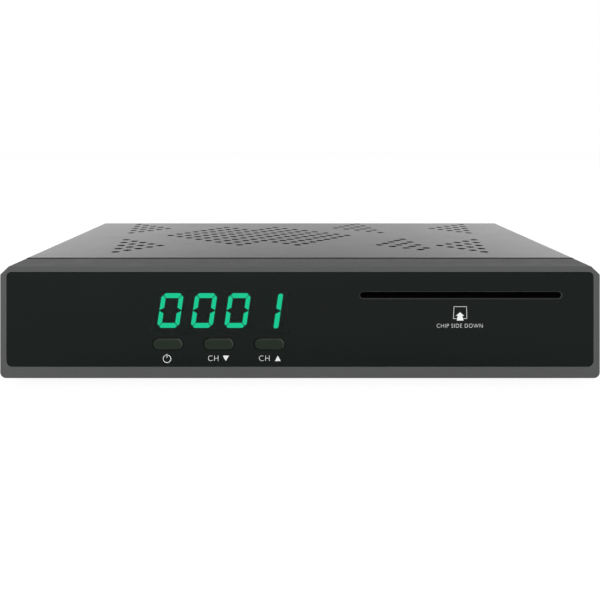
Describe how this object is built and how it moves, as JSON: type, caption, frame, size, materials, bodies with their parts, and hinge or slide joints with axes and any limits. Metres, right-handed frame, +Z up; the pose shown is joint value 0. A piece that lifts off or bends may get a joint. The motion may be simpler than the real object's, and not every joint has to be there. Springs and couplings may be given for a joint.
{
  "type": "satellite tv receiver",
  "caption": "Slim satellite television receiver: smoked front with digit display, three keys and card slot, vented sheet steel case, rear sockets, rubber feet.",
  "frame": {"origin": "on the floor under the middle of the whole object, its rear connectors included", "axes": "+X to the right along the front as a user sees it, +Y from the front to the back, +Z up"},
  "size_m": [0.1686, 0.1094, 0.034],
  "materials": {
    "bezel_plastic": "fine satin texture, dark grey",
    "smoked_acrylic": "clear gloss, smoked nearly black",
    "film_print": "even black print",
    "key_plastic": "satin gloss, olive black",
    "cover_paint": "fine metallic grey paint",
    "zinc_sheet": "zinc plated sheet, faint spangle",
    "screw_steel": "zinc plated",
    "foot_rubber": "matt black",
    "board_resist": "green solder resist",
    "display_shell": "matt black",
    "segment_lit": "glowing blue-green",
    "segment_dark": "unlit resin",
    "black_resin": "moulded resin",
    "plated_shell": "nickel plated",
    "tin_plate": "tinned sheet",
    "white_insulator": "natural polymer",
    "blue_resin": "moulded resin",
    "orange_resin": "moulded resin",
    "heatsink_aluminium": "extruded, brushed",
    "capacitor_sleeve": "shrunk sleeve",
    "ferrite": "pressed ferrite",
    "ribbon_sleeve": "flat ribbon",
    "contact_gold": "gold flashed"
  },
  "bodies": {
    "case": {"antenna_connector": "plated_shell", "antenna_insulator": "white_insulator", "antenna_nut": "plated_shell", "antenna_washer": "plated_shell", "audio_jack": "orange_resin", "audio_ring": "plated_shell", "av_socket": "black_resin", "bezel_screws": "screw_steel", "board_screws": "screw_steel", "capacitors": "capacitor_sleeve", "channel_down_switch": "black_resin", "channel_up_switch": "black_resin", "chassis_tray": "zinc_sheet", "cover_screws": "screw_steel", "crystal": "tin_plate", "display_body": "display_shell", "display_dark_segments": "segment_dark", "display_lit_segments": "segment_lit", "foot_front_left": "foot_rubber", "foot_front_right": "foot_rubber", "foot_rear_left": "foot_rubber", "foot_rear_right": "foot_rubber", "front_bezel": "bezel_plastic", "front_board": "board_resist", "front_board_screws": "screw_steel", "front_plate": "smoked_acrylic", "front_ribbon": "ribbon_sleeve", "heatsink": "heatsink_aluminium", "inductors": "ferrite", "ir_receiver": "black_resin", "main_board": "board_resist", "memory_chips": "black_resin", "plate_film": "film_print", "power_jack": "black_resin", "power_pin": "plated_shell", "power_switch": "black_resin", "processor": "black_resin", "reader_base": "black_resin", "reader_board": "board_resist", "reader_contacts": "contact_gold", "reader_header": "black_resin", "reader_lid": "tin_plate", "reader_spacers": "plated_shell", "ribbon_headers": "white_insulator", "service_socket": "plated_shell", "service_tongue": "white_insulator", "top_cover": "cover_paint", "tuner_can": "tin_plate", "video_socket": "plated_shell", "video_tongue": "black_resin"},
    "power_key": {"power_button": "key_plastic", "power_plunger": "black_resin"},
    "channel_down_key": {"channel_down_button": "key_plastic", "channel_down_plunger": "black_resin"},
    "channel_up_key": {"channel_up_button": "key_plastic", "channel_up_plunger": "black_resin"}
  },
  "joints": [
    {"name": "power_press", "type": "slide", "parent": "case", "child": "power_key", "axis": [0, 1, 0], "range_m": [0, 0.0003], "stiffness_N_per_m": 4000},
    {"name": "channel_down_press", "type": "slide", "parent": "case", "child": "channel_down_key", "axis": [0, 1, 0], "range_m": [0, 0.0003], "stiffness_N_per_m": 4000},
    {"name": "channel_up_press", "type": "slide", "parent": "case", "child": "channel_up_key", "axis": [0, 1, 0], "range_m": [0, 0.0003], "stiffness_N_per_m": 4000}
  ]
}
